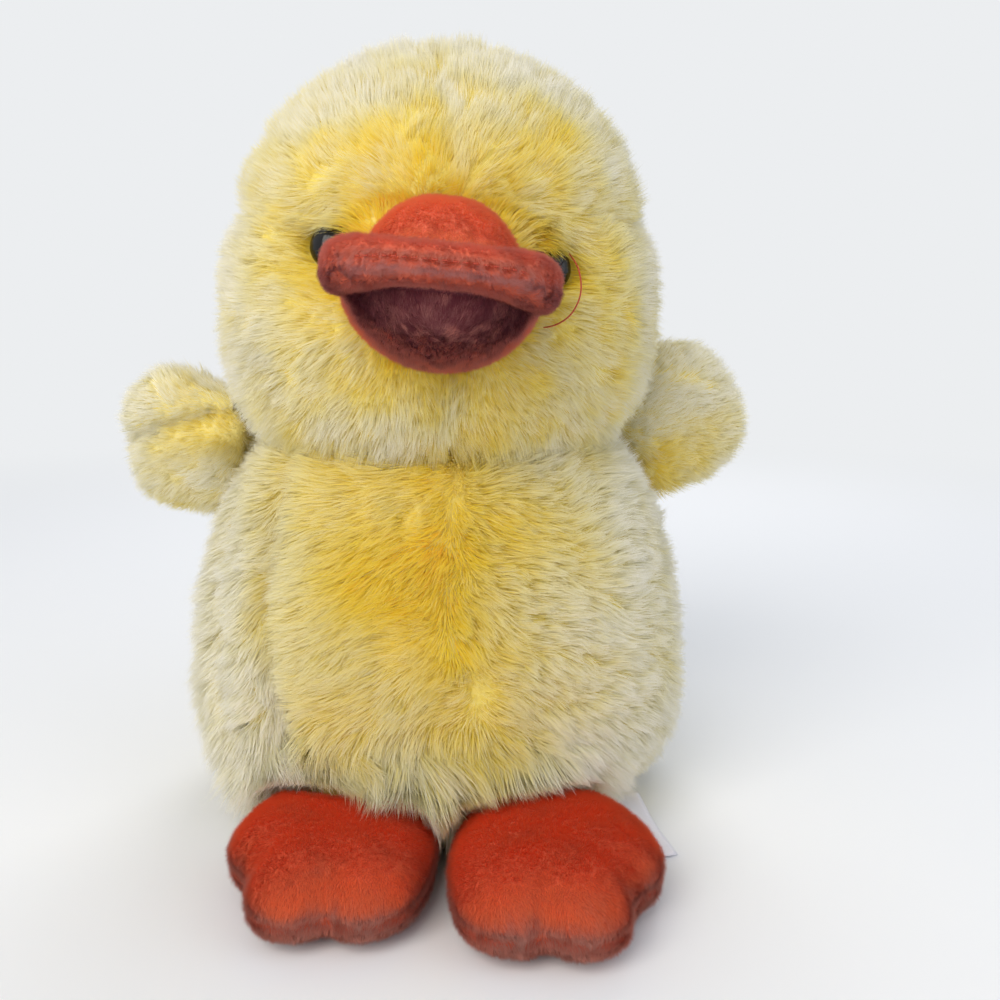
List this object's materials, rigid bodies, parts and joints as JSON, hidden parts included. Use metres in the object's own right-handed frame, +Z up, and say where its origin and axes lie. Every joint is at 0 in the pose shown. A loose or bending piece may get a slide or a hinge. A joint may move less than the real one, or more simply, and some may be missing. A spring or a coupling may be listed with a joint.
{
  "type": "plush duck",
  "caption": "Sitting stuffed plush duck in long yellow pile fabric with short-pile orange bill and webbed feet, domed button eyes, sewn wings, a tail and a bare satin care label",
  "frame": {"origin": "middle of the flat seat that the duck sits on", "axes": "+Z up, the duck faces -Y, its own left side is +X"},
  "size_m": [0.2013, 0.1965, 0.225],
  "materials": {
    "pile_yellow": "long soft knitted pile, saturated yellow at the root and cream at the tip",
    "base_cloth": "the same yellow pile, pressed flat by sitting",
    "bill_plush": "short dense orange plush, brushed",
    "foot_plush": "short dense red-orange plush, brushed",
    "eye_plastic": "polished black",
    "washer_plastic": "moulded white",
    "stuffing_fibre": "loose white polyester fibre",
    "label_satin": "woven satin ribbon, bare",
    "sewing_thread": "twisted orange sewing thread"
  },
  "bodies": {
    "torso": {"crown_left": "pile_yellow", "crown_right": "pile_yellow", "cheek_left": "pile_yellow", "cheek_right": "pile_yellow", "belly_left": "pile_yellow", "belly_right": "pile_yellow", "back_left": "pile_yellow", "back_right": "pile_yellow", "tail_top": "pile_yellow", "tail_underside": "pile_yellow", "base_panel": "base_cloth", "bill_upper_top": "bill_plush", "bill_upper_underside": "bill_plush", "bill_lower": "bill_plush", "eye_left": "eye_plastic", "eye_right": "eye_plastic", "eye_washer_left": "washer_plastic", "eye_washer_right": "washer_plastic", "body_stuffing": "stuffing_fibre", "head_stuffing": "stuffing_fibre", "bill_upper_stuffing": "stuffing_fibre", "bill_lower_stuffing": "stuffing_fibre", "tail_stuffing": "stuffing_fibre", "loose_thread": "sewing_thread"},
    "wing_left": {"wing_left_front": "pile_yellow", "wing_left_rear": "pile_yellow", "wing_left_stuffing": "stuffing_fibre"},
    "wing_right": {"wing_right_front": "pile_yellow", "wing_right_rear": "pile_yellow", "wing_right_stuffing": "stuffing_fibre"},
    "foot_left": {"foot_left_top": "foot_plush", "foot_left_sole": "foot_plush", "foot_left_stuffing": "stuffing_fibre"},
    "foot_right": {"foot_right_top": "foot_plush", "foot_right_sole": "foot_plush", "foot_right_stuffing": "stuffing_fibre"},
    "label": {"care_label": "label_satin"}
  },
  "joints": [
    {"name": "wing_left_seam", "type": "hinge", "parent": "torso", "child": "wing_left", "pos_m": [0.05672, 0.00947, 0.103], "axis": [-0.5132, -0.159, 0.8434], "range_deg": [-25, 25], "stiffness_Nm_per_rad": 0.02},
    {"name": "wing_right_seam", "type": "hinge", "parent": "torso", "child": "wing_right", "pos_m": [-0.05672, 0.00947, 0.103], "axis": [0.053, -0.3903, 0.9192], "range_deg": [-25, 25], "stiffness_Nm_per_rad": 0.02},
    {"name": "foot_left_seam", "type": "hinge", "parent": "torso", "child": "foot_left", "pos_m": [0.02835, -0.04801, 0.008], "axis": [0.9925, -0.1219, 0], "range_deg": [-35, 0], "stiffness_Nm_per_rad": 0.02},
    {"name": "foot_right_seam", "type": "hinge", "parent": "torso", "child": "foot_right", "pos_m": [-0.02835, -0.04801, 0.008], "axis": [0.9903, -0.1392, 0], "range_deg": [-35, 0], "stiffness_Nm_per_rad": 0.02},
    {"name": "label_seam", "type": "hinge", "parent": "torso", "child": "label", "pos_m": [0.05162, -0.03401, 0.006], "axis": [0.9877, 0.1564, 0], "range_deg": [-25, 0]}
  ]
}
